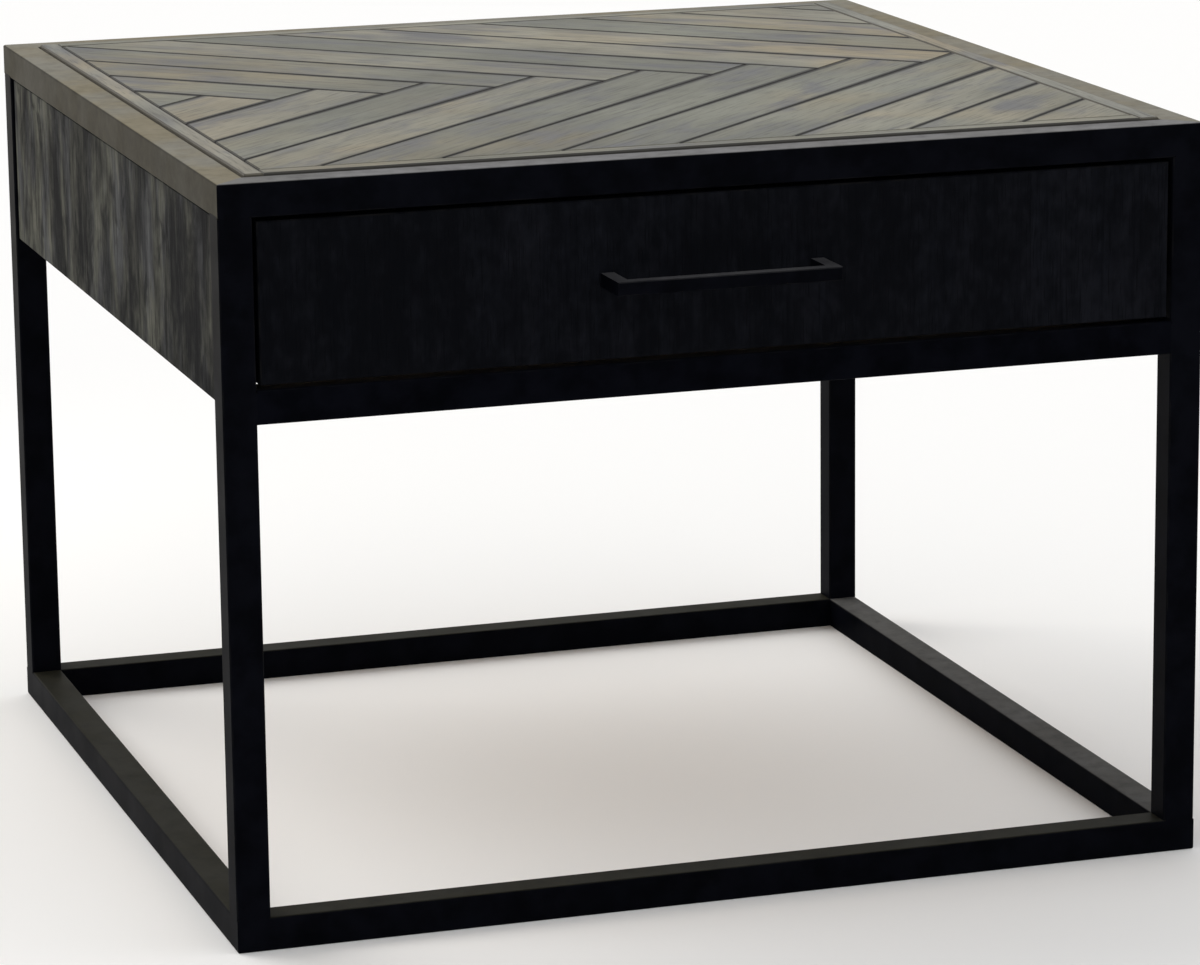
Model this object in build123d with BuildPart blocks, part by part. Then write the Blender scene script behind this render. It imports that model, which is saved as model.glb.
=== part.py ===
# Side table: welded square-tube frame, herringbone top, wood sides and one drawer on telescopic runners.
# Millimetres, +Z up, the drawer opens towards -Y. The origin is on the floor, in the middle of the
# footprint with the pull counted in.
import os
from math import ceil, floor, sqrt

from build123d import *

os.makedirs("parts", exist_ok=True)

# Frame of square steel tube: a ring on the floor, four posts, a ring at the top and a rail under the drawer
table_width = 600.0
table_depth = 600.0
table_height = 450.0
tube_size = 20.0
tube_wall = 1.5
tube_radius = 1.5
opening_height = 98.5

# Wood top: herringbone boards glued to a core, inside a border, carried by flat bars in the top ring
top_proud = 1.5
top_thickness = 18.0
top_gap = 0.8
border_width = 11.5
board_thickness = 8.0
board_width = 50.5
board_joint = 1.0
board_lean = 45.0
edge_bevel = 0.8
smallest_offcut = 4.0
ledge_thickness = 3.0
ledge_margin = 1.0

# Wood panels between the posts
panel_recess = 2.0
panel_height = 108.5
panel_gap = 0.8

# Angle brackets inside, and the screws that they and the runners share
bracket_width = 18.0
bracket_thickness = 2.0
bracket_bend_radius = 1.5
bracket_end = 8.0
bracket_spread = 300.0
rear_bracket_lift = 25.0
screw_inset = 3.7
screw_diameter = 3.5
screw_length = 12.0
screw_head_width = 7.0
screw_head_height = 1.8
screw_fit = 0.1

# Drawer
drawer_gap = 2.5
drawer_recess = 1.0
front_thickness = 19.0
box_thickness = 12.0
box_lift = 3.0
box_drop = 12.5
box_tail = 20.0
bottom_thickness = 5.0
bottom_lift = 8.0
groove_depth = 6.0
groove_fit = 0.2
front_screw_spread = 400.0
front_screw_rise = 30.0
front_screw_bite = 13.0

# Bar pull
handle_pitch = 128.0
handle_bar = 8.0
handle_reach = 32.0
handle_offset = -8.0
handle_bevel = 0.6
handle_screw_diameter = 4.0
handle_screw_bite = 8.0
handle_screw_head_width = 8.0
handle_screw_head_height = 2.4

# Telescopic ball runners
runner_length = 450.0
runner_height = 45.0
runner_thickness = 12.7
runner_setback = 2.0
runner_sheet = 1.2
runner_fold = 0.5
runner_rim_setback = 1.8
runner_gap = 0.6
runner_screw_inset = 35.0
runner_access_hole = 10.0
cabinet_lip = 2.4
moving_lip = 1.6
outer_ball = 4.0
inner_ball = 3.0
ball_play = 0.1
ball_count = 4
cage_sheet = 0.8
cage_gap = 0.5
cage_margin = 25.0
drawer_travel = 450.0

# Levels and faces that follow from these
frame_height = table_height - top_proud
ring_underside = frame_height - tube_size
rail_top = ring_underside - opening_height
half_width = table_width / 2
half_depth = table_depth / 2
front_y = (handle_reach - drawer_recess - table_depth) / 2
centre_y = front_y + half_depth
back_y = front_y + table_depth
inner_x = half_width - tube_size
inner_front_y = front_y + tube_size
inner_back_y = back_y - tube_size

top_underside = table_height - top_thickness
boards_underside = table_height - board_thickness
ledge_underside = top_underside - ledge_thickness
top_half_x = inner_x - top_gap
top_half_y = half_depth - tube_size - top_gap
core_half_x = top_half_x - border_width
core_half_y = top_half_y - border_width
field_half_x = core_half_x - board_joint
field_half_y = core_half_y - board_joint
board_pitch = board_width * sqrt(2)

panel_thickness = tube_size - panel_recess
panel_underside = ring_underside - panel_height
panel_top = ring_underside - panel_gap
bracket_hole = top_gap + border_width + screw_inset
bracket_leg = bracket_hole + bracket_end
ledge_width = bracket_leg + ledge_margin

front_underside = rail_top + drawer_gap
front_height = opening_height - 2 * drawer_gap
front_face_y = front_y + drawer_recess
box_front_y = front_face_y + front_thickness
box_inner_front_y = box_front_y + box_thickness
box_depth = runner_length + box_tail
box_back_y = box_front_y + box_depth
box_inner_back_y = box_back_y - box_thickness
box_half_x = inner_x - runner_thickness
box_inner_x = box_half_x - box_thickness
box_underside = front_underside + box_lift
box_height = front_height - box_lift - box_drop
box_z = box_underside + box_height / 2
bottom_z = box_underside + bottom_lift + bottom_thickness / 2
bottom_y = (box_inner_front_y + box_inner_back_y) / 2
bottom_size_x = 2 * (box_inner_x + groove_depth - groove_fit)
bottom_size_y = box_inner_back_y - box_inner_front_y + 2 * (groove_depth - groove_fit)
handle_z = front_underside + front_height / 2

runner_y = box_front_y + runner_setback + runner_length / 2
runner_rim = runner_thickness - runner_rim_setback
middle_web = runner_sheet + screw_head_height + runner_gap
drawer_member_rim = middle_web + runner_sheet + runner_gap
outer_row_z = runner_height / 2 - runner_sheet - ball_play - outer_ball / 2
middle_half = outer_row_z - outer_ball / 2 - ball_play
inner_row_z = middle_half - runner_sheet - ball_play - inner_ball / 2
drawer_member_half = inner_row_z - inner_ball / 2 - ball_play
cage_length = runner_length - drawer_travel / 2 - cage_margin

sides = {"left": -1, "right": 1}
standing = (Align.CENTER, Align.CENTER, Align.MIN)


def tube_section():
    """Hollow rounded square, standing on the sketch's x axis to the right of its y axis."""
    with Locations((tube_size / 2, tube_size / 2)):
        RectangleRounded(tube_size, tube_size, tube_radius)
        Rectangle(tube_size - 2 * tube_wall, tube_size - 2 * tube_wall, mode=Mode.SUBTRACT)


def pan_head_screw(diameter, length, head_width, head_height):
    """Screw with its bearing face on the XY plane, the head above and the pointed shank below."""
    with BuildPart() as screw:
        with BuildSketch(Plane.XZ):
            with BuildLine():
                Polyline(
                    (0, -length),
                    (diameter / 2, diameter - length),
                    (diameter / 2, 0),
                    (head_width / 2, 0),
                    (head_width / 2, head_height / 2),
                    (head_width / 4, head_height),
                    (0, head_height),
                    close=True,
                )
            make_face()
        revolve(axis=Axis.Z)
    return screw.part


# Both rings: four tubes each, mitred at the corners. An edge's plane has x along the tube and y inwards.
ring_edges = {
    "front": (Plane((0, front_y, 0), x_dir=(1, 0, 0)), table_width),
    "back": (Plane((0, back_y, 0), x_dir=(-1, 0, 0)), table_width),
    "left": (Plane((-half_width, centre_y, 0), x_dir=(0, -1, 0)), table_depth),
    "right": (Plane((half_width, centre_y, 0), x_dir=(0, 1, 0)), table_depth),
}
for level, underside in (("bottom", 0.0), ("top", ring_underside)):
    for edge_name, (floor_edge, length) in ring_edges.items():
        edge = floor_edge.offset(underside)
        with BuildPart() as frame_rail:
            with BuildSketch(Plane(edge.from_local_coords((-length / 2, 0, 0)), edge.y_dir, edge.x_dir)):
                tube_section()
            extrude(amount=length)
            for end in (-1, 1):
                corner = edge.from_local_coords((end * length / 2, 0, 0))
                split(bisect_by=Plane(corner, z_dir=edge.x_dir * end + edge.y_dir), keep=Keep.BOTTOM)
        frame_rail.part.label = f"frame_{level}_rail_{edge_name}"
        export_step(frame_rail.part, f"parts/{frame_rail.part.label}.step")

# Posts between the rings
for end_name, post_y in (("front", front_y), ("back", inner_back_y)):
    for side_name, side in sides.items():
        post_x = min(side * half_width, side * inner_x)
        with BuildPart() as post:
            with BuildSketch(Plane((post_x, post_y, tube_size))):
                tube_section()
            extrude(amount=ring_underside - tube_size)
        post.part.label = f"frame_post_{end_name}_{side_name}"
        export_step(post.part, f"parts/{post.part.label}.step")

# Rail under the drawer, between the front posts
with BuildPart() as drawer_rail:
    with BuildSketch(Plane((-inner_x, front_y, rail_top - tube_size), x_dir=(0, 1, 0), z_dir=(1, 0, 0))):
        tube_section()
    extrude(amount=2 * inner_x)
drawer_rail.part.label = "frame_drawer_rail"
export_step(drawer_rail.part, "parts/frame_drawer_rail.step")

# Angle brackets: under the ledges against the panels, and in the rear corners between the panels. In each
# plane the two legs run along x and y from the corner.
bracket_planes = []
for step in (-bracket_spread / 2, bracket_spread / 2):
    back_corner = (step, inner_back_y, ledge_underside)
    bracket_planes.append(Plane(back_corner, x_dir=(0, -1, 0), z_dir=(1, 0, 0)))
    for side in sides.values():
        side_corner = (side * inner_x, centre_y + step, ledge_underside)
        bracket_planes.append(Plane(side_corner, x_dir=(-side, 0, 0), z_dir=(0, -side, 0)))
for side in sides.values():
    rear_corner = (side * inner_x, inner_back_y, panel_underside + rear_bracket_lift)
    bracket_planes.append(Plane(rear_corner, x_dir=(-side, 0, 0), z_dir=(0, 0, side)))

frame_screw_places = []
for plane in bracket_planes:
    on_first_leg = plane.from_local_coords((bracket_hole, bracket_thickness, 0))
    on_second_leg = plane.from_local_coords((bracket_thickness, bracket_hole, 0))
    frame_screw_places.append(Plane(on_first_leg, z_dir=plane.y_dir))
    frame_screw_places.append(Plane(on_second_leg, z_dir=plane.x_dir))
for step in (-bracket_spread / 2, bracket_spread / 2):
    under_front_ledge = (step, inner_front_y + bracket_hole, ledge_underside)
    frame_screw_places.append(Plane(under_front_ledge, z_dir=(0, 0, -1)))


def screw_holes(places, diameter=screw_diameter, length=screw_length):
    """Holes for screws in the piece being made, as deep as the screws are long."""
    with Locations(*places):
        Hole(diameter / 2 + screw_fit, length + screw_fit)


with BuildPart() as corner_brackets:
    for plane in bracket_planes:
        with BuildSketch(plane.offset(-bracket_width / 2)) as bracket_outline:
            Rectangle(bracket_leg, bracket_leg, align=(Align.MIN, Align.MIN))
            with Locations((bracket_thickness, bracket_thickness)):
                Rectangle(bracket_leg, bracket_leg, align=(Align.MIN, Align.MIN), mode=Mode.SUBTRACT)
            fillet(bracket_outline.vertices().sort_by_distance((0, 0))[0], bracket_bend_radius)
        extrude(amount=bracket_width)
    screw_holes(frame_screw_places)
corner_brackets.part.label = "corner_brackets"
export_step(corner_brackets.part, "parts/corner_brackets.step")

small_screw = pan_head_screw(screw_diameter, screw_length, screw_head_width, screw_head_height)
with BuildPart() as frame_screws:
    with Locations(*frame_screw_places):
        add(small_screw)
frame_screws.part.label = "frame_screws"
export_step(frame_screws.part, "parts/frame_screws.step")

# Flat bars welded inside the top ring. The front and back ones run across, the others between them.
side_ledge_length = 2 * (half_depth - tube_size - ledge_width)
ledges = {
    "front": ((0, inner_front_y + ledge_width / 2), (2 * inner_x, ledge_width)),
    "back": ((0, inner_back_y - ledge_width / 2), (2 * inner_x, ledge_width)),
    "left": ((ledge_width / 2 - inner_x, centre_y), (ledge_width, side_ledge_length)),
    "right": ((inner_x - ledge_width / 2, centre_y), (ledge_width, side_ledge_length)),
}
for edge_name, ((x, y), (size_x, size_y)) in ledges.items():
    with BuildPart() as ledge:
        with Locations((x, y, ledge_underside)):
            Box(size_x, size_y, ledge_thickness, align=standing)
        screw_holes(frame_screw_places)
    ledge.part.label = f"top_ledge_{edge_name}"
    export_step(ledge.part, f"parts/{ledge.part.label}.step")

# Core of the top, under the boards
with BuildPart() as top_core:
    with Locations((0, centre_y, top_underside)):
        Box(2 * core_half_x, 2 * core_half_y, boards_underside - top_underside, align=standing)
    screw_holes(frame_screw_places)
top_core.part.label = "top_core"
export_step(top_core.part, "parts/top_core.step")

# Border strips round the core. The side strips run the whole depth, the others between them.
border_offset_x = top_half_x - border_width / 2
border_offset_y = top_half_y - border_width / 2
borders = {
    "front": ((0, centre_y - border_offset_y), (2 * core_half_x, border_width)),
    "back": ((0, centre_y + border_offset_y), (2 * core_half_x, border_width)),
    "left": ((-border_offset_x, centre_y), (border_width, 2 * top_half_y)),
    "right": ((border_offset_x, centre_y), (border_width, 2 * top_half_y)),
}
for edge_name, ((x, y), (size_x, size_y)) in borders.items():
    with BuildPart() as border:
        with Locations((x, y, top_underside)):
            Box(size_x, size_y, top_thickness, align=standing)
        chamfer(border.faces().sort_by(Axis.Z)[-1].edges(), edge_bevel)
    border.part.label = f"top_border_{edge_name}"
    export_step(border.part, f"parts/{border.part.label}.step")


# Field of boards inside the border, as one slab with a bevelled edge
with BuildPart() as board_field:
    with Locations((0, centre_y, boards_underside)):
        Box(2 * field_half_x, 2 * field_half_y, board_thickness, align=standing)
    chamfer(board_field.faces().sort_by(Axis.Z)[-1].edges(), edge_bevel)


def herringbone_board(end_x, lean):
    """Leaning board with its square end on the middle line at end_x, bevelled and cut to the field."""
    with BuildPart() as board:
        with Locations(Location((end_x, centre_y, boards_underside), (0, 0, lean * board_lean))):
            with Locations((-board_joint / 2, 0)):
                Box(
                    table_width + table_depth,
                    board_width - board_joint,
                    board_thickness,
                    align=(Align.MAX, Align.CENTER, Align.MIN),
                )
        chamfer(board.faces().sort_by(Axis.Z)[-1].edges(), edge_bevel)
        add(board_field.part, mode=Mode.INTERSECT)
    return board.part


# Two courses of boards. The front course leans right and the back one left, half a pitch on, so that each
# board's end butts against the side of a board of the other course.
for course_name, lean, shift in (("front", 1, 0), ("back", -1, board_pitch / 2)):
    first = ceil((smallest_offcut - field_half_x - board_pitch / 4 - shift) / board_pitch)
    last = floor((field_half_x + field_half_y - smallest_offcut + board_pitch / 2 - shift) / board_pitch)
    boards = [herringbone_board(shift + place * board_pitch, lean) for place in range(first, last + 1)]
    with BuildPart() as course:
        add(boards)
    course.part.label = f"top_boards_{course_name}"
    export_step(course.part, f"parts/{course.part.label}.step")

# Runner screws, three a member: into the side panel, and into the drawer's side
runner_screw_step = runner_length / 2 - runner_screw_inset
cabinet_screw_places = []
drawer_screw_places = []
for side in sides.values():
    for step in (-runner_screw_step, 0, runner_screw_step):
        in_cabinet = (side * (inner_x - runner_sheet), runner_y + step, box_z)
        on_drawer = (side * (box_half_x + runner_sheet), runner_y + step, box_z)
        cabinet_screw_places.append(Plane(in_cabinet, z_dir=(-side, 0, 0)))
        drawer_screw_places.append(Plane(on_drawer, z_dir=(side, 0, 0)))

# Side panels and back panel: their inner faces are flush with the tubes, their lower edges hang free
for side_name, side in sides.items():
    with BuildPart() as side_panel:
        with Locations((side * (inner_x + panel_thickness / 2), centre_y, panel_underside)):
            Box(
                panel_thickness,
                inner_back_y - inner_front_y - 2 * panel_gap,
                panel_top - panel_underside,
                align=standing,
            )
        chamfer(side_panel.faces().sort_by(Axis.X, reverse=side > 0)[0].edges(), edge_bevel)
        screw_holes(frame_screw_places + cabinet_screw_places)
    side_panel.part.label = f"side_panel_{side_name}"
    export_step(side_panel.part, f"parts/{side_panel.part.label}.step")

with BuildPart() as back_panel:
    with Locations((0, inner_back_y + panel_thickness / 2, panel_underside)):
        Box(2 * (inner_x - panel_gap), panel_thickness, panel_top - panel_underside, align=standing)
    chamfer(back_panel.faces().sort_by(Axis.Y)[-1].edges(), edge_bevel)
    screw_holes(frame_screw_places)
back_panel.part.label = "back_panel"
export_step(back_panel.part, "parts/back_panel.step")


def runner_channel(web, rim, half_height, lip):
    """C section of folded sheet, from its web's outer face to its rim, where the lips are turned in."""
    facing = 1 if rim > web else -1
    with Locations(((web + rim) / 2, 0)):
        RectangleRounded(abs(rim - web), 2 * half_height, runner_sheet + runner_fold)
        RectangleRounded(
            abs(rim - web) - 2 * runner_sheet,
            2 * (half_height - runner_sheet),
            runner_fold,
            mode=Mode.SUBTRACT,
        )
    with Locations((rim - facing * runner_sheet, 0)):
        Rectangle(2 * runner_sheet, 2 * (half_height - runner_sheet - lip), mode=Mode.SUBTRACT)


def ball_cage(plane, row_depth, row_height, ball, width):
    """Two strips with loose balls in their holes. The plane's x is the depth from the panel, its y is up."""
    ball_pitch = cage_length / ball_count
    with BuildPart() as cage:
        for row in (-1, 1):
            row_middle = plane.from_local_coords((row_depth, row * row_height, 0))
            with Locations(Plane(row_middle, plane.z_dir, plane.y_dir)):
                Box(cage_length, width, cage_sheet)
                with GridLocations(ball_pitch, 0, ball_count, 1):
                    Hole(ball / 2 + ball_play, cage_sheet)
                    Sphere(ball / 2)
    return cage


# Telescopic runners. The cabinet member is screwed to the panel and the drawer member to the drawer's side.
# The middle member runs between them on two pairs of ball rows.
outer_row_depth = (middle_web + runner_rim - runner_sheet) / 2
inner_row_depth = (middle_web + runner_rim) / 2
outer_cage_width = runner_rim - runner_sheet - middle_web - 2 * cage_gap
inner_cage_width = outer_cage_width - runner_sheet
for side_name, side in sides.items():
    runner_plane = Plane((side * inner_x, runner_y, box_z), x_dir=(-side, 0, 0), z_dir=(0, side, 0))

    with BuildPart() as cabinet_member:
        with BuildSketch(runner_plane):
            runner_channel(0, runner_rim, runner_height / 2, cabinet_lip)
        extrude(amount=runner_length / 2, both=True)
        screw_holes(cabinet_screw_places)
    cabinet_member.part.label = f"runner_cabinet_member_{side_name}"
    export_step(cabinet_member.part, f"parts/{cabinet_member.part.label}.step")

    with BuildPart() as middle_member:
        with BuildSketch(runner_plane):
            runner_channel(middle_web, runner_rim, middle_half, moving_lip)
        extrude(amount=runner_length / 2, both=True)
        with Locations(*cabinet_screw_places):
            Hole(runner_access_hole / 2, runner_thickness)
    middle_member.part.label = f"runner_middle_member_{side_name}"
    export_step(middle_member.part, f"parts/{middle_member.part.label}.step")

    with BuildPart() as drawer_member:
        with BuildSketch(runner_plane):
            runner_channel(runner_thickness, drawer_member_rim, drawer_member_half, moving_lip)
        extrude(amount=runner_length / 2, both=True)
        screw_holes(drawer_screw_places)
    drawer_member.part.label = f"runner_drawer_member_{side_name}"
    export_step(drawer_member.part, f"parts/{drawer_member.part.label}.step")

    outer_cage = ball_cage(runner_plane, outer_row_depth, outer_row_z, outer_ball, outer_cage_width)
    outer_cage.part.label = f"runner_outer_cage_{side_name}"
    export_step(outer_cage.part, f"parts/{outer_cage.part.label}.step")

    inner_cage = ball_cage(runner_plane, inner_row_depth, inner_row_z, inner_ball, inner_cage_width)
    inner_cage.part.label = f"runner_inner_cage_{side_name}"
    export_step(inner_cage.part, f"parts/{inner_cage.part.label}.step")

with BuildPart() as runner_cabinet_screws:
    with Locations(*cabinet_screw_places):
        add(small_screw)
runner_cabinet_screws.part.label = "runner_cabinet_screws"
export_step(runner_cabinet_screws.part, "parts/runner_cabinet_screws.step")

with BuildPart() as runner_drawer_screws:
    with Locations(*drawer_screw_places):
        add(small_screw)
runner_drawer_screws.part.label = "runner_drawer_screws"
export_step(runner_drawer_screws.part, "parts/runner_drawer_screws.step")

# Screws through the drawer box's front: four hold the drawer front, two hold the pull
front_screw_length = box_thickness + front_screw_bite
front_screw_places = []
for x in (-front_screw_spread / 2, front_screw_spread / 2):
    for rise in (-front_screw_rise / 2, front_screw_rise / 2):
        front_screw_places.append(Plane((x, box_inner_front_y, box_z + rise), z_dir=(0, 1, 0)))
handle_screw_length = box_thickness + front_thickness + handle_screw_bite
handle_screw_places = []
for x in (handle_offset - handle_pitch / 2, handle_offset + handle_pitch / 2):
    handle_screw_places.append(Plane((x, box_inner_front_y, handle_z), z_dir=(0, 1, 0)))


def box_front_holes():
    """Holes for the screws of the drawer front and of the pull, in the piece being made."""
    screw_holes(front_screw_places, length=front_screw_length)
    screw_holes(handle_screw_places, handle_screw_diameter, handle_screw_length)


front_screw = pan_head_screw(screw_diameter, front_screw_length, screw_head_width, screw_head_height)
with BuildPart() as front_screws:
    with Locations(*front_screw_places):
        add(front_screw)
front_screws.part.label = "front_screws"
export_step(front_screws.part, "parts/front_screws.step")

handle_screw = pan_head_screw(
    handle_screw_diameter,
    handle_screw_length,
    handle_screw_head_width,
    handle_screw_head_height,
)
with BuildPart() as handle_screws:
    with Locations(*handle_screw_places):
        add(handle_screw)
handle_screws.part.label = "handle_screws"
export_step(handle_screws.part, "parts/handle_screws.step")

# Bar pull: square bar on two square legs, flush with its ends
handle_length = handle_pitch + handle_bar
with BuildPart() as handle:
    with BuildSketch(Plane((handle_offset, front_face_y - handle_reach, handle_z - handle_bar / 2))):
        Rectangle(handle_length, handle_reach, align=(Align.CENTER, Align.MIN))
        with Locations((0, handle_bar)):
            Rectangle(
                handle_pitch - handle_bar,
                handle_reach,
                align=(Align.CENTER, Align.MIN),
                mode=Mode.SUBTRACT,
            )
    extrude(amount=handle_bar)
    chamfer(handle.faces().sort_by(Axis.Y)[0].edges(), handle_bevel)
    screw_holes(handle_screw_places, handle_screw_diameter, handle_screw_length)
handle.part.label = "handle"
export_step(handle.part, "parts/handle.step")

# Drawer front, inset between the posts
with BuildPart() as drawer_front:
    with Locations((0, front_face_y + front_thickness / 2, front_underside)):
        Box(2 * (inner_x - drawer_gap), front_thickness, front_height, align=standing)
    chamfer(drawer_front.faces().sort_by(Axis.Y)[0].edges(), edge_bevel)
    box_front_holes()
drawer_front.part.label = "drawer_front"
export_step(drawer_front.part, "parts/drawer_front.step")


def bottom_groove():
    """Groove for the drawer's bottom, in the piece being made."""
    with Locations((0, bottom_y, bottom_z)):
        Box(
            bottom_size_x + 2 * groove_fit,
            bottom_size_y + 2 * groove_fit,
            bottom_thickness + groove_fit,
            mode=Mode.SUBTRACT,
        )


# Drawer box: the sides run the whole depth, the ends stand between them, the bottom sits in grooves
for side_name, side in sides.items():
    with BuildPart() as drawer_side:
        side_x = side * (box_half_x - box_thickness / 2)
        with Locations((side_x, box_front_y + box_depth / 2, box_underside)):
            Box(box_thickness, box_depth, box_height, align=standing)
        chamfer(drawer_side.faces().sort_by(Axis.Z)[-1].edges().filter_by(Axis.Y), edge_bevel)
        bottom_groove()
        screw_holes(drawer_screw_places)
    drawer_side.part.label = f"drawer_side_{side_name}"
    export_step(drawer_side.part, f"parts/{drawer_side.part.label}.step")

with BuildPart() as drawer_box_front:
    with Locations((0, box_front_y + box_thickness / 2, box_underside)):
        Box(2 * box_inner_x, box_thickness, box_height, align=standing)
    bottom_groove()
    box_front_holes()
drawer_box_front.part.label = "drawer_box_front"
export_step(drawer_box_front.part, "parts/drawer_box_front.step")

with BuildPart() as drawer_back:
    with Locations((0, box_back_y - box_thickness / 2, box_underside)):
        Box(2 * box_inner_x, box_thickness, box_height, align=standing)
    chamfer(drawer_back.faces().sort_by(Axis.Z)[-1].edges().filter_by(Axis.X), edge_bevel)
    bottom_groove()
drawer_back.part.label = "drawer_back"
export_step(drawer_back.part, "parts/drawer_back.step")

with BuildPart() as drawer_bottom:
    with Locations((0, bottom_y, bottom_z)):
        Box(bottom_size_x, bottom_size_y, bottom_thickness)
drawer_bottom.part.label = "drawer_bottom"
export_step(drawer_bottom.part, "parts/drawer_bottom.step")
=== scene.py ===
import math

import bmesh
import bpy
from mathutils import Matrix, Vector


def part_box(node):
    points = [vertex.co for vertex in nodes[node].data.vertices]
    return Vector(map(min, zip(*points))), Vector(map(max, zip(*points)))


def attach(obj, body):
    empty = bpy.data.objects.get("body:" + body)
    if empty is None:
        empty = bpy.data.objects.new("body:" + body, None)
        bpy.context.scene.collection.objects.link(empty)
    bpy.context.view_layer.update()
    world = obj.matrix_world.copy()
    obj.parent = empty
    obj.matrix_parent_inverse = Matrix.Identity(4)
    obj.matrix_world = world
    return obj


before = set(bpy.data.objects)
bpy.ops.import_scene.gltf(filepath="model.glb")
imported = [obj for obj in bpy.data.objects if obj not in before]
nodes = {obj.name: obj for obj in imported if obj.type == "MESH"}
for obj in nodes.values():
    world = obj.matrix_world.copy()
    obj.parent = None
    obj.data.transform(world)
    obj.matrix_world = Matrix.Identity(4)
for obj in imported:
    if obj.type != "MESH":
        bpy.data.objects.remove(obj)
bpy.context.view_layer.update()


# Frame: square steel tube, mitred and welded into a ring at the floor and a ring round the top, with four posts
# between them and a rail under the drawer. It is ground flush and powder coated flat black, and dust lies on what
# faces up. On the top ring that pale colour is also painted reflection of light at a glancing angle, and some of it
# is laid on the ring's upright faces as painted light. The rail under the drawer is left without it, dark as
# painted shade. Flat bars welded inside the top ring carry the wood top.
def place(tree, kind, inputs=None, **settings):
    """Adds one shader node. Each input is a constant or the output socket that feeds it."""
    made = tree.nodes.new(kind)
    for name, value in settings.items():
        setattr(made, name, value)
    for name, value in (inputs or {}).items():
        if isinstance(value, bpy.types.NodeSocket):
            tree.links.new(value, made.inputs[name])
        else:
            made.inputs[name].default_value = value
    return made


def math_of(tree, operation, *values):
    """Output of a Math node on these constants and sockets."""
    return place(tree, "ShaderNodeMath", dict(enumerate(values)), operation=operation).outputs[0]


def vector_of(tree, operation, *values):
    """Output of a Vector Math node on these constants and sockets."""
    return place(tree, "ShaderNodeVectorMath", dict(enumerate(values)), operation=operation).outputs[0]


def axes_of(tree, vector):
    """Outputs X, Y and Z of a vector."""
    return place(tree, "ShaderNodeSeparateXYZ", {0: vector}).outputs


def ramp_of(tree, value, low, high):
    """Output that rises smoothly from 0 to 1 as the value goes from low to high."""
    limits = {"Value": value, "From Min": low, "From Max": high}
    return place(tree, "ShaderNodeMapRange", limits, interpolation_type="SMOOTHSTEP").outputs[0]


def range_of(tree, value, start, end, low=0.0, high=1.0):
    """Output that goes straight from start to end as the value goes from low to high."""
    limits = {"Value": value, "From Min": low, "From Max": high, "To Min": start, "To Max": end}
    return place(tree, "ShaderNodeMapRange", limits).outputs[0]


def noise_of(tree, coords, features, detail=3.0, roughness=0.55, distortion=0.0):
    """Output of a noise with about this many features to the metre along x, y and z."""
    inputs = {"Vector": vector_of(tree, "MULTIPLY", coords, features), "Scale": 1.0}
    inputs |= {"Detail": detail, "Roughness": roughness, "Distortion": distortion}
    return place(tree, "ShaderNodeTexNoise", inputs).outputs["Fac"]


def mix_of(tree, factor, first, second, blend="MIX"):
    """Output of a colour mix from first to second."""
    inputs = {"Factor": factor, 6: first, 7: second}
    return place(tree, "ShaderNodeMix", inputs, data_type="RGBA", blend_type=blend).outputs[2]


def part_mix(tree, mask, first, second, share):
    """Output of a colour mix from first to second by this share of a mask."""
    return mix_of(tree, math_of(tree, "MULTIPLY", mask, share), first, second)


def new_group(name, inputs, outputs):
    """Empty shader node group with named sockets, and the nodes that hold its inputs and outputs."""
    group = bpy.data.node_groups.new(name, "ShaderNodeTree")
    for socket, kind in inputs.items():
        group.interface.new_socket(socket, in_out="INPUT", socket_type=kind)
    for socket in outputs:
        group.interface.new_socket(socket, in_out="OUTPUT", socket_type="NodeSocketFloat")
    return group, group.nodes.new("NodeGroupInput"), group.nodes.new("NodeGroupOutput")


def new_material(name, **constants):
    """Material with one Principled shader. The constants are set on the shader's own sockets."""
    material = bpy.data.materials.new(name)
    material.use_nodes = True
    shader = material.node_tree.nodes["Principled BSDF"]
    for socket, value in constants.items():
        shader.inputs[socket.replace("_", " ")].default_value = value
    coords = place(material.node_tree, "ShaderNodeTexCoord").outputs["Object"]
    return material, material.node_tree, shader, coords


def add_finish(tree, shader, colour, roughness, height, depth):
    """Feeds the shader's colour and roughness, and its normal with a bump of this height map, in metres."""
    tree.links.new(colour, shader.inputs["Base Color"])
    tree.links.new(roughness, shader.inputs["Roughness"])
    bump = place(tree, "ShaderNodeBump", {"Height": height, "Strength": 1.0, "Distance": depth})
    tree.links.new(bump.outputs["Normal"], shader.inputs["Normal"])


def finish_with(material, names):
    """Gives the material to these CAD nodes."""
    for name in names:
        nodes[name].data.materials.clear()
        nodes[name].data.materials.append(material)


# Wear: rounded and bevelled edges, where the normal leans away from all three axes, rubbed in patches.
edge_wear, wear_in, wear_out = new_group("edge_wear", {"Coords": "NodeSocketVector"}, ["Wear", "Upward"])
surface_normal = place(edge_wear, "ShaderNodeNewGeometry").outputs["Normal"]
lean_x, lean_y, lean_z = axes_of(edge_wear, vector_of(edge_wear, "ABSOLUTE", surface_normal))
steepest = math_of(edge_wear, "MAXIMUM", math_of(edge_wear, "MAXIMUM", lean_x, lean_y), lean_z)
on_edge = ramp_of(edge_wear, math_of(edge_wear, "SUBTRACT", 1.0, steepest), low=0.02, high=0.2)
rub_marks = noise_of(edge_wear, wear_in.outputs["Coords"], (60, 60, 60))
rubbed_edge = math_of(edge_wear, "MULTIPLY", on_edge, ramp_of(edge_wear, rub_marks, low=0.4, high=0.7))
facing_up = ramp_of(edge_wear, axes_of(edge_wear, surface_normal)["Z"], low=0.6, high=0.95)
edge_wear.links.new(rubbed_edge, wear_out.inputs["Wear"])
edge_wear.links.new(facing_up, wear_out.inputs["Upward"])

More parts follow.
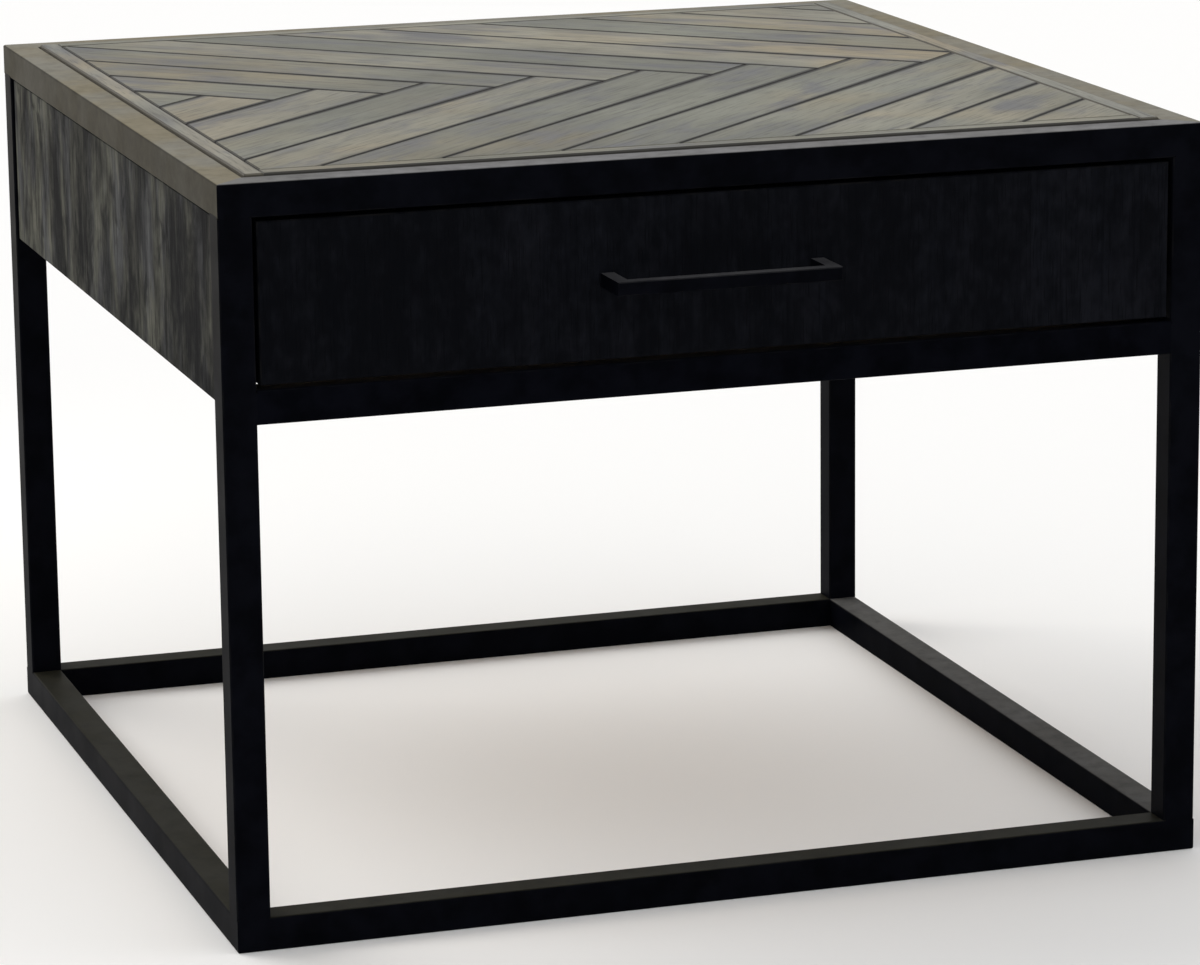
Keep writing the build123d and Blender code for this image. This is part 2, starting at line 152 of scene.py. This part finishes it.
STEEL_BLACK = (0.0009, 0.0011, 0.002, 1)
STEEL_CLOUDED = (0.0024, 0.0027, 0.0046, 1)
STEEL_RUBBED = (0.007, 0.007, 0.0075, 1)
STEEL_WEAR = 0.6
STEEL_ROUGHNESS = (0.4, 0.62)
FILM_THINNEST = 0.3
PEEL_FEATURES = (900, 900, 900)
PEEL_DEPTH = 0.00002


def coated_steel(name, dust_and_reflection, haze, gloss, film_and_side_light=0.0, **sheen):
    """Flat black powder coat: fine orange peel, cloudy, rubbed along its edges and pale where it faces up.

    The pale colour is dust, and on the top ring and the pull it is also painted reflection and painted highlight.
    The film is the share of that colour laid on upright faces too, as painted light."""
    material, tree, shader, coords = new_material(name, Specular_IOR_Level=gloss, **sheen)
    wear = place(tree, "ShaderNodeGroup", {"Coords": coords}, node_tree=edge_wear).outputs
    clouds = noise_of(tree, coords, (40, 40, 40), detail=6.0, roughness=0.65)
    colour = mix_of(tree, ramp_of(tree, clouds, low=0.32, high=0.68), STEEL_BLACK, STEEL_CLOUDED)
    colour = part_mix(tree, wear["Wear"], colour, STEEL_RUBBED, share=STEEL_WEAR)
    fine = noise_of(tree, coords, (90, 90, 90), detail=6.0, roughness=0.7)
    broad = noise_of(tree, coords, (12, 12, 12), detail=5.0, roughness=0.6)
    # Pale colour on upward faces: dust, and on the top ring and the pull also painted reflection and highlight.
    dust_and_reflection_mask = math_of(tree, "MULTIPLY", wear["Upward"], ramp_of(tree, fine, low=-0.3, high=0.7))
    # The film lays some of that pale colour on upright faces as painted light.
    if film_and_side_light:
        uneven = math_of(tree, "ADD", fine, broad)
        smeared_film_and_light = range_of(tree, uneven, film_and_side_light * FILM_THINNEST, film_and_side_light, low=0.78, high=1.22)
        dust_and_reflection_mask = math_of(tree, "MAXIMUM", dust_and_reflection_mask, smeared_film_and_light)
    dust_and_reflection_colour = mix_of(tree, ramp_of(tree, broad, low=0.38, high=0.64), dust_and_reflection, haze)
    colour = mix_of(tree, dust_and_reflection_mask, colour, dust_and_reflection_colour)
    smudges = noise_of(tree, coords, (26, 26, 26), detail=4.0)
    roughness = range_of(tree, smudges, *STEEL_ROUGHNESS)
    peel = noise_of(tree, coords, PEEL_FEATURES, detail=1.0)
    add_finish(tree, shader, colour, roughness, peel, PEEL_DEPTH)
    return material


# Top ring: its upper faces are pale partly from dust and partly as painted reflection of light at a glancing angle,
# and the film lays some of that colour on its upright faces as painted light. The sheen is the shader's own.
RING_DUST_AND_REFLECTION = (0.196, 0.173, 0.122, 1)
RING_HAZE = (0.203, 0.196, 0.17, 1)
RING_GLOSS = 0.012
RING_FILM_AND_SIDE_LIGHT = 0.145
RING_SHEEN = {"Sheen_Weight": 0.058, "Sheen_Roughness": 0.4, "Sheen_Tint": (1.0, 0.9, 0.6, 1)}
ring_steel = coated_steel("ring_steel", RING_DUST_AND_REFLECTION, RING_HAZE, RING_GLOSS, RING_FILM_AND_SIDE_LIGHT, **RING_SHEEN)
finish_with(ring_steel, ["frame_top_rail_back", "frame_top_rail_left", "frame_top_rail_right"])
# Front rail of the top ring: its upper face is pale grey, partly from dust and partly as painted reflection.
RING_FRONT_DUST_AND_REFLECTION = (0.17, 0.168, 0.166, 1)
RING_FRONT_HAZE = (0.2, 0.199, 0.205, 1)
ring_front_steel = coated_steel("ring_front_steel", RING_FRONT_DUST_AND_REFLECTION, RING_FRONT_HAZE, RING_GLOSS)
finish_with(ring_front_steel, ["frame_top_rail_front"])

LOW_DUST = (0.0215, 0.0208, 0.0148, 1)
LOW_HAZE = (0.0245, 0.0243, 0.0196, 1)
COAT_GLOSS = 0.013
black_steel = coated_steel("black_steel", LOW_DUST, LOW_HAZE, COAT_GLOSS)
lower_names = [name for name in nodes if name.startswith(("frame_bottom_rail_", "frame_post_", "top_ledge_"))]
finish_with(black_steel, lower_names)

# The right rail on the floor is paler on top than the other rails on the floor. The rail under the drawer is left
# without a pale top and with less gloss, so it stays dark as painted shade under the drawer front.
RAIL_GLOSS = 0.006
RIGHT_PALE_TOP = (0.09, 0.089, 0.086, 1)
RIGHT_HAZE = (0.101, 0.101, 0.1, 1)
right_rail_steel = coated_steel("right_rail_steel", RIGHT_PALE_TOP, RIGHT_HAZE, RAIL_GLOSS)
finish_with(right_rail_steel, ["frame_bottom_rail_right"])
# Rail under the drawer: no pale top, dark as painted shade under the drawer front.
rail_steel = coated_steel("rail_steel", STEEL_CLOUDED, STEEL_CLOUDED, RAIL_GLOSS)
finish_with(rail_steel, ["frame_drawer_rail"])


# Welds: the tubes' rounded edges leave a valley at each end of a post and of the drawer rail. Weld metal fills
# it, ground flush with the tubes before the coat goes on.
WELD_RADIUS = 0.0015
WELD_STEPS = 6
welds = bmesh.new()


def fill_valley(corner, out, into, length):
    """Bar between a rounded tube edge and the corner that a sharp edge would have had."""
    along = out.cross(into) * (length / 2)
    centre = corner + (into - out) * WELD_RADIUS
    turns = [math.pi / 2 * step / WELD_STEPS for step in range(WELD_STEPS + 1)]
    section = [corner] + [centre + (out * math.cos(turn) - into * math.sin(turn)) * WELD_RADIUS for turn in turns]
    near = [welds.verts.new(point - along) for point in section]
    far = [welds.verts.new(point + along) for point in section]
    welds.faces.new(near)
    welds.faces.new(far[::-1])
    for step in range(len(section)):
        following = (step + 1) % len(section)
        welds.faces.new((near[following], near[step], far[step], far[following]))


def add_object(name, data):
    """Puts a new object with this mesh, lamp or camera in the scene."""
    made = bpy.data.objects.new(name, data)
    bpy.context.scene.collection.objects.link(made)
    return made


up = Vector((0, 0, 1))
for post in [name for name in nodes if name.startswith("frame_post_")]:
    low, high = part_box(post)
    middle = (low + high) / 2
    length = high.x - low.x - 2 * WELD_RADIUS
    for out in (Vector((math.copysign(1, middle.x), 0, 0)), Vector((0, -1 if "front" in post else 1, 0))):
        face = middle + out * (high.x - low.x) / 2
        fill_valley(Vector((face.x, face.y, high.z)), out, up, length)
        fill_valley(Vector((face.x, face.y, low.z)), out, -up, length)
low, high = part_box("frame_drawer_rail")
middle = (low + high) / 2
for end, into in ((low.x, Vector((-1, 0, 0))), (high.x, Vector((1, 0, 0)))):
    for edge, out in ((low.y, Vector((0, -1, 0))), (high.y, Vector((0, 1, 0)))):
        fill_valley(Vector((end, edge, middle.z)), out, into, high.z - low.z - 2 * WELD_RADIUS)
bmesh.ops.recalc_face_normals(welds, faces=welds.faces)
weld_mesh = bpy.data.meshes.new("frame_welds")
welds.to_mesh(weld_mesh)
welds.free()
weld_mesh.materials.append(black_steel)
frame_welds = add_object("frame_welds", weld_mesh)
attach(frame_welds, "table")


# Wood top: narrow boards laid in herringbone and glued to a plywood core, inside a border of strips. They are
# washed grey-brown, warmer and thinner in broad areas and a little different on each board, and the stain has
# gathered dark in the joints, most of all along the seam between the two courses. The boards' sides down in the
# joints and the sides of the front and back border strips are painted dark, as painted shade.
PIECE_APART = (17.3, 5.1, 2.7)
wood_grain, grain_in, grain_out = new_group(
    "wood_grain",
    {"Grain": "NodeSocketVector", "Piece": "NodeSocketFloat"},
    ["Figure", "Clouds", "Fibre", "Pores", "Height"],
)
own_place = vector_of(wood_grain, "MULTIPLY_ADD", grain_in.outputs["Piece"], PIECE_APART, grain_in.outputs["Grain"])
figure = noise_of(wood_grain, own_place, (3.5, 32, 32), detail=5.0, roughness=0.6, distortion=0.8)
clouds = noise_of(wood_grain, own_place, (11, 34, 34), detail=4.0, roughness=0.6, distortion=0.4)
fibre = noise_of(wood_grain, own_place, (14, 420, 420), detail=4.0, roughness=0.65)
pores = ramp_of(wood_grain, noise_of(wood_grain, own_place, (45, 950, 950), detail=1.0), low=0.58, high=0.72)
raised = math_of(wood_grain, "SUBTRACT", fibre, pores)
for socket, value in zip(grain_out.inputs, (figure, clouds, fibre, pores, raised)):
    wood_grain.links.new(value, socket)


def grain_of(tree, coords, along, across):
    """Coordinates turned so that the grain runs along x and the pieces lie side by side along y."""
    through = ({"X", "Y", "Z"} - {along, across}).pop()
    axes = axes_of(tree, coords)
    order = (axes[along], axes[across], axes[through])
    return place(tree, "ShaderNodeCombineXYZ", dict(enumerate(order))).outputs[0]


def strips_of(tree, grain, width, offset):
    """Place across the grain, counted in strips of this width, and a random number from 0 to 1 for each strip."""
    strip = math_of(tree, "MULTIPLY_ADD", axes_of(tree, grain)["Y"], 1 / width, offset)
    number = place(tree, "ShaderNodeTexWhiteNoise", {"W": math_of(tree, "FLOOR", strip)}, noise_dimensions="1D")
    return strip, number.outputs["Value"]


TOP_PALE = (0.238, 0.222, 0.171, 1)
TOP_OLIVE = (0.168, 0.165, 0.13, 1)
TOP_GREY = (0.114, 0.116, 0.126, 1)
TOP_DARK = (0.055, 0.053, 0.048, 1)
TOP_JOINT = (0.02, 0.0186, 0.0168, 1)
TOP_SIDE = (0.095, 0.087, 0.07, 1)
TOP_GLOSS = 0.2
TOP_ROUGHNESS = (0.5, 0.75)
TOP_GRAIN_DEPTH = 0.00014
WASH_COOL = (0.935, 0.97, 1.01, 1)
WASH_WARM = (1.13, 1.01, 0.85, 1)
WASH_THICK = (0.82, 0.82, 0.82, 1)
WASH_THIN = (1.23, 1.23, 1.23, 1)
WARM_DRIFT = (0.0, 0.0, 119.47)
THIN_DRIFT = (0.0, 0.0, 303.81)
PIECE_PALENESS = 0.6
PIECE_WARMTH = 0.12
PIECE_SHUFFLE = 7.3
STAIN_WANDER = 0.0012
core_low, core_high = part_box("top_core")
top_middle = (core_low + core_high) / 2


def wash_of(tree, coords, drift):
    """Output of the broad, cloudy way in which the wash was wiped on, with this drift for a cloud of its own."""
    wiped = vector_of(tree, "ADD", coords, drift)
    return noise_of(tree, wiped, (5, 5, 5), detail=3.0, roughness=0.6, distortion=0.5)


def washed_wood(
    name, turn, width, offset, side, stain, gather=0.0, ends=None, pale=TOP_PALE, paler=0.0, both_sides=False
):
    """Grey-brown washed wood with its grain turned by this angle about the table's middle, seen from above.

    Dark stain lies along the strips' edges, fades out between the two distances in stain, and is narrower by gather
    far from the seam. Faces that don't face up take the side colour, which is painted shade where it is dark.
    Between the two distances in ends from the seam, the strips' sides go from that colour to bare. With both_sides,
    strips are counted outwards from the middle on either side, as the border needs."""
    material, tree, shader, coords = new_material(name, Specular_IOR_Level=TOP_GLOSS)
    turned = {"Vector": coords, "Center": top_middle, "Angle": -turn}
    grain = place(tree, "ShaderNodeVectorRotate", turned, rotation_type="Z_AXIS").outputs[0]
    from_middle = vector_of(tree, "SUBTRACT", grain, top_middle)
    across = vector_of(tree, "ABSOLUTE", from_middle) if both_sides else from_middle
    strip, piece = strips_of(tree, across, width, offset)
    wood = place(tree, "ShaderNodeGroup", {"Grain": from_middle, "Piece": piece}, node_tree=wood_grain).outputs

    paleness = math_of(tree, "MULTIPLY_ADD", piece, PIECE_PALENESS, paler - PIECE_PALENESS / 2)
    paleness = math_of(tree, "ADD", wood["Figure"], paleness)
    colour = mix_of(tree, ramp_of(tree, paleness, low=0.3, high=0.75), TOP_OLIVE, pale)
    own_warmth = math_of(tree, "FRACT", math_of(tree, "MULTIPLY", piece, PIECE_SHUFFLE))
    warmth = math_of(tree, "MULTIPLY_ADD", own_warmth, PIECE_WARMTH, wash_of(tree, coords, WARM_DRIFT))
    tint = mix_of(tree, ramp_of(tree, warmth, low=0.46, high=0.8), WASH_COOL, WASH_WARM)
    colour = mix_of(tree, 1.0, colour, tint, "MULTIPLY")
    thinness = ramp_of(tree, wash_of(tree, coords, THIN_DRIFT), low=0.3, high=0.7)
    colour = mix_of(tree, 1.0, colour, mix_of(tree, thinness, WASH_THICK, WASH_THIN), "MULTIPLY")
    colour = part_mix(tree, ramp_of(tree, wood["Clouds"], low=0.45, high=0.72), colour, TOP_GREY, share=0.85)
    colour = part_mix(tree, ramp_of(tree, wood["Fibre"], low=0.5, high=0.75), colour, TOP_DARK, share=0.5)
    colour = part_mix(tree, wood["Pores"], colour, TOP_DARK, share=0.5)

    to_edge = math_of(tree, "MULTIPLY", math_of(tree, "PINGPONG", strip, 0.5), width)
    from_seam = math_of(tree, "ABSOLUTE", math_of(tree, "SUBTRACT", axes_of(tree, coords)["Y"], top_middle.y))
    bare = math_of(tree, "MULTIPLY_ADD", wood["Clouds"], STAIN_WANDER, to_edge)
    bare = math_of(tree, "MULTIPLY_ADD", ramp_of(tree, from_seam, low=0.03, high=0.2), gather, bare)
    colour = mix_of(tree, ramp_of(tree, bare, *stain), TOP_JOINT, colour)
    if ends:
        side = mix_of(tree, ramp_of(tree, from_seam, *ends), side, TOP_OLIVE)
    wear = place(tree, "ShaderNodeGroup", {"Coords": coords}, node_tree=edge_wear).outputs
    # Faces that don't face up take the side colour: dark painted shade on the boards and on the front and back
    # border strips.
    colour = mix_of(tree, wear["Upward"], side, colour)
    roughness = range_of(tree, wood["Fibre"], *TOP_ROUGHNESS)
    add_finish(tree, shader, colour, roughness, wood["Height"], TOP_GRAIN_DEPTH)
    return material


# The boards' sides are TOP_JOINT: painted shade in the narrow joints.
BOARDS = {
    "width": 0.0505,
    "side": TOP_JOINT,
    "stain": (0.0028, 0.006),
    "gather": 0.0016,
    "ends": (0.264, 0.2658),
}
eighth_turn = math.radians(45)
boards_front = washed_wood("boards_front_wood", eighth_turn, offset=0.5, **BOARDS)
boards_back = washed_wood("boards_back_wood", -eighth_turn, offset=0.0, **BOARDS)
finish_with(boards_front, ["top_boards_front"])
finish_with(boards_back, ["top_boards_back"])

BORDER_STAIN = (0.0009, 0.0021)
BORDER_PALE = (0.216, 0.207, 0.171, 1)
BORDER_PALER = 0.2
ACROSS_LAP = 0.004
border_low, border_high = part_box("top_border_right")
border_width = border_high.x - border_low.x
border_along = washed_wood(
    "border_along_wood",
    turn=math.radians(90),
    width=border_width,
    offset=-border_low.x / border_width,
    side=TOP_SIDE,
    stain=BORDER_STAIN,
    pale=BORDER_PALE,
    paler=BORDER_PALER,
    both_sides=True,
)
across_width = border_width + ACROSS_LAP
# The front and back strips' sides are TOP_DARK, painted shade; the left and right strips' sides keep a darker wood
# tone.
border_across = washed_wood(
    "border_across_wood",
    turn=0.0,
    width=across_width,
    offset=-(border_high.x - across_width) / across_width,
    side=TOP_DARK,
    stain=BORDER_STAIN,
    both_sides=True,
)
finish_with(border_along, ["top_border_left", "top_border_right"])
finish_with(border_across, ["top_border_front", "top_border_back"])

PLAIN_GLOSS = 0.35
PLAIN_ROUGHNESS = (0.45, 0.7)
PLAIN_GRAIN_DEPTH = 0.00004
STAVE_TONE = 0.3


def plain_wood(name, along, across, pale, brown, stave_width):
    """Bare or oiled wood of glued staves, from pale to brown."""
    material, tree, shader, coords = new_material(name, Specular_IOR_Level=PLAIN_GLOSS)
    grain = grain_of(tree, coords, along, across)
    piece = strips_of(tree, grain, stave_width, offset=0.0)[1]
    wood = place(tree, "ShaderNodeGroup", {"Grain": grain, "Piece": piece}, node_tree=wood_grain).outputs
    own_tone = math_of(tree, "MULTIPLY_ADD", piece, STAVE_TONE, -STAVE_TONE / 2)
    tone = math_of(tree, "ADD", wood["Figure"], own_tone)
    colour = mix_of(tree, ramp_of(tree, tone, low=0.25, high=0.75), pale, brown)
    colour = part_mix(tree, wood["Pores"], colour, brown, share=0.5)
    roughness = range_of(tree, wood["Fibre"], *PLAIN_ROUGHNESS)
    add_finish(tree, shader, colour, roughness, wood["Height"], PLAIN_GRAIN_DEPTH)
    return material


PLY_PALE = (0.5, 0.37, 0.23, 1)
PLY_BROWN = (0.36, 0.24, 0.14, 1)
plywood = plain_wood("plywood", "X", "Y", PLY_PALE, PLY_BROWN, stave_width=0.4)
finish_with(plywood, ["top_core", "drawer_bottom"])


# Panels: solid wood between the posts, with upright grain, stained nearly black. The stain is thin on the raised
# grain and in patches, so the sides show grey streaks and clouds. The drawer front and the back panel have the same
# wood painted far darker, as painted shade.
STAIN_RUBBED = (0.012, 0.0115, 0.011, 1)
STAIN_WEAR = 0.5
STAIN_ROUGHNESS = (0.5, 0.8)
STAIN_DRIFT = (0.0, 0.37, 0.0)
STAIN_BIAS = 0.06
STAIN_REACH = 0.12
PATCH_REACH = 0.21
STAIN_GRAIN_DEPTH = 0.0002
STAVE_WIDTH = 0.115
STAVE_START = 0.35
STAVE_STAIN = 0.2


def stained_wood(name, across, black, grey, bluish, gloss, upright, patchy):
    """Near-black stained wood with upright grain, grey where the stain is thin, in streaks and in patches."""
    material, tree, shader, coords = new_material(name, Specular_IOR_Level=gloss)
    grain = grain_of(tree, coords, "Z", across)
    piece = strips_of(tree, grain, STAVE_WIDTH, STAVE_START)[1]
    wood = place(tree, "ShaderNodeGroup", {"Grain": grain, "Piece": piece}, node_tree=wood_grain).outputs
    taken = vector_of(tree, "ADD", grain, STAIN_DRIFT)
    streaks = noise_of(tree, grain, (17, 66, 66), detail=3.0, roughness=0.55, distortion=0.4)
    patches = noise_of(tree, taken, (9, 20, 20), detail=5.0, roughness=0.6, distortion=0.6)
    mottle = noise_of(tree, grain, (85, 130, 130), detail=3.0, roughness=0.6)
    spots = noise_of(tree, taken, (27, 40, 40), detail=3.0, roughness=0.55, distortion=0.5)

    tone = math_of(tree, "MULTIPLY", wood["Figure"], upright)
    weights = ((streaks, upright), (patches, patchy), (mottle, 1.0 - upright), (piece, STAVE_STAIN))
    for mark, weight in weights:
        tone = math_of(tree, "MULTIPLY_ADD", mark, weight, tone)
    middle_tone = (upright + patchy + 1.0 + STAVE_STAIN) / 2 + STAIN_BIAS * patchy
    reach = STAIN_REACH + PATCH_REACH * patchy
    thin_stain = mix_of(tree, ramp_of(tree, wood["Clouds"], low=0.42, high=0.62), grey, bluish)
    thinness = ramp_of(tree, tone, low=middle_tone - reach, high=middle_tone + reach)
    colour = mix_of(tree, thinness, black, thin_stain)
    colour = part_mix(tree, ramp_of(tree, spots, low=0.54, high=0.68), colour, black, share=0.8)
    colour = part_mix(tree, ramp_of(tree, wood["Fibre"], low=0.48, high=0.72), colour, black, share=0.6)
    colour = part_mix(tree, wood["Pores"], colour, black, share=0.7)
    wear = place(tree, "ShaderNodeGroup", {"Coords": coords}, node_tree=edge_wear).outputs
    colour = part_mix(tree, wear["Wear"], colour, STAIN_RUBBED, share=STAIN_WEAR)
    roughness = range_of(tree, wood["Fibre"], *STAIN_ROUGHNESS)
    add_finish(tree, shader, colour, roughness, wood["Height"], STAIN_GRAIN_DEPTH)
    return material


side_wood = stained_wood(
    "side_panel_wood",
    across="Y",
    black=(0.0048, 0.0052, 0.0062, 1),
    grey=(0.122, 0.122, 0.1, 1),
    bluish=(0.082, 0.084, 0.087, 1),
    gloss=0.012,
    upright=0.55,
    patchy=1.5,
)
finish_with(side_wood, ["side_panel_left", "side_panel_right"])
# Drawer front and back panel: the same wood painted far darker, as painted shade.
front_wood = stained_wood(
    "drawer_front_wood",
    across="X",
    black=(0.0016, 0.0019, 0.003, 1),
    grey=(0.0066, 0.0071, 0.01, 1),
    bluish=(0.006, 0.0068, 0.0098, 1),
    gloss=0.025,
    upright=0.3,
    patchy=0.8,
)
finish_with(front_wood, ["back_panel", "drawer_front"])


# Brackets, screws and telescopic runners: bent and rolled sheet steel, zinc plated, with a faint bluish bloom
# and lengthwise rolling marks on the runners.
ZINC_BRIGHT = (0.6, 0.61, 0.63, 1)
ZINC_DULL = (0.47, 0.48, 0.5, 1)
ZINC_ROUGHNESS = (0.26, 0.42)
ZINC_MARK_DEPTH = 0.00001
zinc_steel, zinc_tree, zinc_shader, zinc_coords = new_material("zinc_steel", Metallic=1.0)
bloom = noise_of(zinc_tree, zinc_coords, (110, 18, 110), detail=4.0)
zinc_colour = mix_of(zinc_tree, ramp_of(zinc_tree, bloom, low=0.3, high=0.7), ZINC_BRIGHT, ZINC_DULL)
zinc_roughness = range_of(zinc_tree, bloom, *ZINC_ROUGHNESS)
rolling_marks = noise_of(zinc_tree, zinc_coords, (1200, 8, 1200), detail=2.0)
add_finish(zinc_tree, zinc_shader, zinc_colour, zinc_roughness, rolling_marks, ZINC_MARK_DEPTH)
hardware = [name for name in nodes if name.startswith(("runner_", "corner_brackets")) or name.endswith("_screws")]
finish_with(zinc_steel, hardware)


# Drawer box: plain oiled boards, grooved for the bottom and glued at the corners. The sides have the grain
# running back, the ends have it running across.
BOX_PALE = (0.4, 0.27, 0.155, 1)
BOX_BROWN = (0.27, 0.165, 0.085, 1)
BOX_STAVE = 0.3
box_side_wood = plain_wood("box_side_wood", "Y", "Z", BOX_PALE, BOX_BROWN, BOX_STAVE)
finish_with(box_side_wood, ["drawer_side_left", "drawer_side_right"])
box_end_wood = plain_wood("box_end_wood", "X", "Z", BOX_PALE, BOX_BROWN, BOX_STAVE)
finish_with(box_end_wood, ["drawer_box_front", "drawer_back"])


# Pull: square steel bar on two legs, held by screws from inside the drawer. It is powder coated like the frame
# and paler on top, partly rubbed by hands and partly a painted highlight.
HANDLE_RUBBED_AND_HIGHLIGHT = (0.062, 0.062, 0.066, 1)
HANDLE_HAZE = (0.04, 0.04, 0.044, 1)
HANDLE_GLOSS = 0.012
finish_with(coated_steel("handle_steel", HANDLE_RUBBED_AND_HIGHLIGHT, HANDLE_HAZE, HANDLE_GLOSS), ["handle"])


# Stage: a wide pale floor that fills the view, an even white sky, a soft sun high at the back left and a small
# warm lamp low at the back left.
FLOOR_REACH = 30.0
FLOOR_WHITE = (0.93, 0.93, 0.93, 1)
floor_corners = [(x * FLOOR_REACH, y * FLOOR_REACH, 0) for x, y in ((-1, -1), (1, -1), (1, 1), (-1, 1))]
floor_mesh = bpy.data.meshes.new("floor")
floor_mesh.from_pydata(floor_corners, [], [(0, 1, 2, 3)])
floor = add_object("floor", floor_mesh)
floor_paint = new_material("floor_white", Base_Color=FLOOR_WHITE, Roughness=0.9, Specular_IOR_Level=0.1)[0]
floor_mesh.materials.append(floor_paint)

SKY_LIGHT = 0.85
SKY_SEEN = 1.0
SKY_WHITE = (1, 1, 1, 1)
world = bpy.data.worlds.new("studio")
world.use_nodes = True
bpy.context.scene.world = world
sky_tree = world.node_tree
sky = sky_tree.nodes["Background"]
sky.inputs["Color"].default_value = SKY_WHITE
ray = place(sky_tree, "ShaderNodeLightPath").outputs
mirrored = math_of(sky_tree, "MAXIMUM", ray["Is Glossy Ray"], ray["Is Transmission Ray"])
seen = math_of(sky_tree, "MAXIMUM", ray["Is Camera Ray"], mirrored)
sky_tree.links.new(range_of(sky_tree, seen, SKY_LIGHT, SKY_SEEN), sky.inputs["Strength"])

SUN_FROM = Vector((-1.0, 1.1, 1.4))
sun_data = bpy.data.lights.new("sun", "SUN")
sun_data.angle = math.radians(35)
sun_data.energy = 1.0
sun_data.color = (1.0, 0.97, 0.92)
sun = add_object("sun", sun_data)
sun.rotation_euler = (-SUN_FROM).to_track_quat("-Z", "Y").to_euler()

LAMP_PLACE = Vector((-0.75, 1.05, 0.4))
LAMP_AIM = Vector((-0.3, 0.1, 0.3))
lamp_data = bpy.data.lights.new("low_lamp", "AREA")
lamp_data.size = 0.5
lamp_data.energy = 1.3
lamp_data.color = (1.0, 0.9, 0.72)
lamp = add_object("low_lamp", lamp_data)
lamp.location = LAMP_PLACE
lamp.rotation_euler = (LAMP_AIM - LAMP_PLACE).to_track_quat("-Z", "Y").to_euler()
lamp.visible_camera = False

# Camera: about three metres off, a little above and to the left of the drawer front, with a long lens.
CAMERA_PLACE = Vector((-0.936, -2.9565, 0.91))
CAMERA_LOOK = Vector((0.2978, 0.9276, -0.2254))
CAMERA_ROLL = math.radians(-0.64)
camera_data = bpy.data.cameras.new("camera")
camera_data.lens = 149.76
camera_data.sensor_width = 36.0
camera = add_object("camera", camera_data)
aimed = CAMERA_LOOK.to_track_quat("-Z", "Y").to_matrix().to_4x4()
camera.matrix_world = Matrix.Translation(CAMERA_PLACE) @ aimed @ Matrix.Rotation(CAMERA_ROLL, 4, "Z")
bpy.context.scene.camera = camera
bpy.context.scene.view_settings.view_transform = "Standard"
